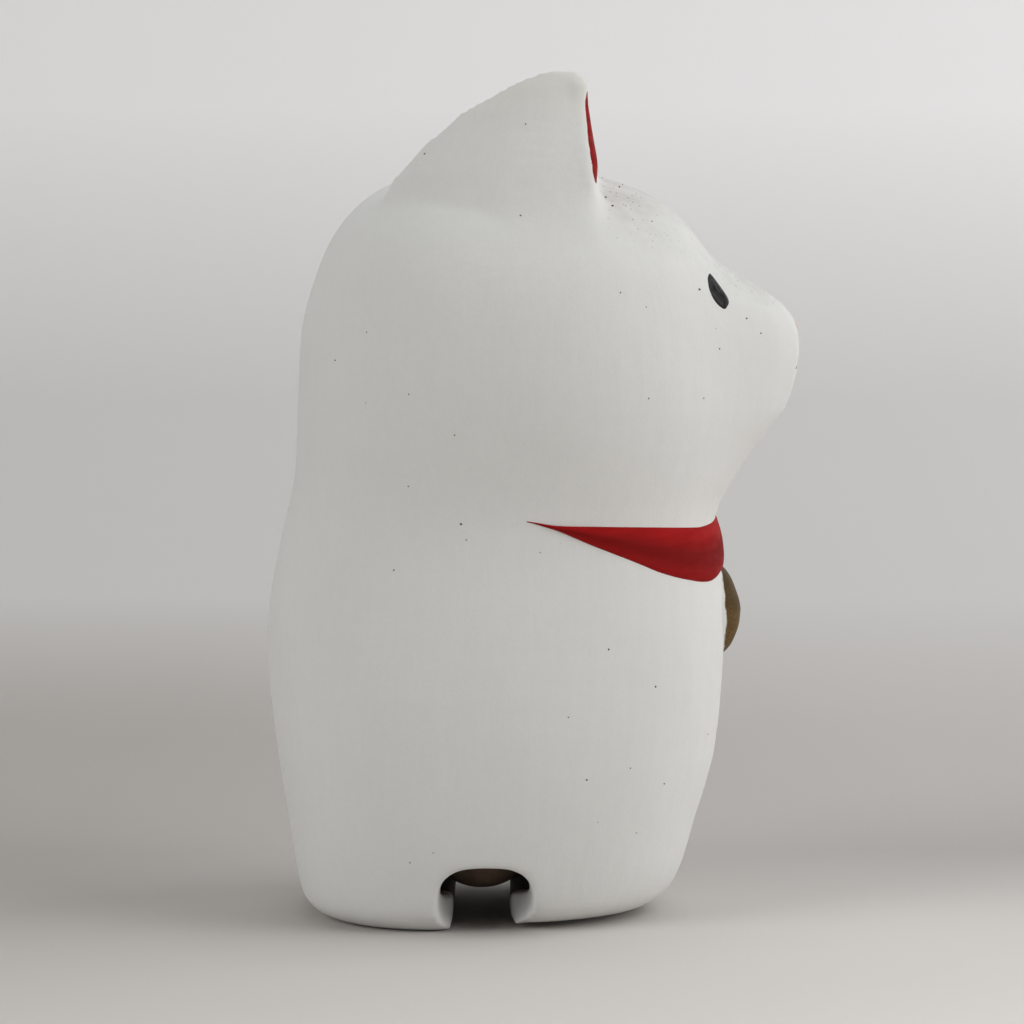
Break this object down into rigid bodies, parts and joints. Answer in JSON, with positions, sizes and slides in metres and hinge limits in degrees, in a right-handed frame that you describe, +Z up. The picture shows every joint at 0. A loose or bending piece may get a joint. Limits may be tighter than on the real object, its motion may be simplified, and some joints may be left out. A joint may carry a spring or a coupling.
{
  "type": "beckoning cat clay bell",
  "caption": "Sitting cat with one raised paw, pressed in clay as a hollow bell: a slot across the base lets a loose clay ball rattle. Painted matte white, with a red collar and a gilt bell.",
  "frame": {"origin": "on the floor, at the middle of the bounding box's bottom face", "axes": "+Z up, the cat faces -Y, and its left side is +X"},
  "size_m": [0.0468, 0.0508, 0.0796],
  "materials": {
    "white_paint": "matte white ground over fired clay",
    "red_paint": "matte red paint over the white ground",
    "gold_paint": "satin brownish gold paint over clay",
    "bare_clay": "unpainted fired clay"
  },
  "bodies": {
    "figure": {"front_shell": "white_paint", "back_shell": "white_paint", "raised_foreleg": "white_paint", "collar": "red_paint", "collar_bell": "gold_paint"},
    "ball": {"rattle_ball": "bare_clay"}
  },
  "joints": [
    {"name": "ball_roll", "type": "slide", "parent": "figure", "child": "ball", "axis": [1, 0, 0], "range_m": [-0.0043, 0.0153]}
  ]
}
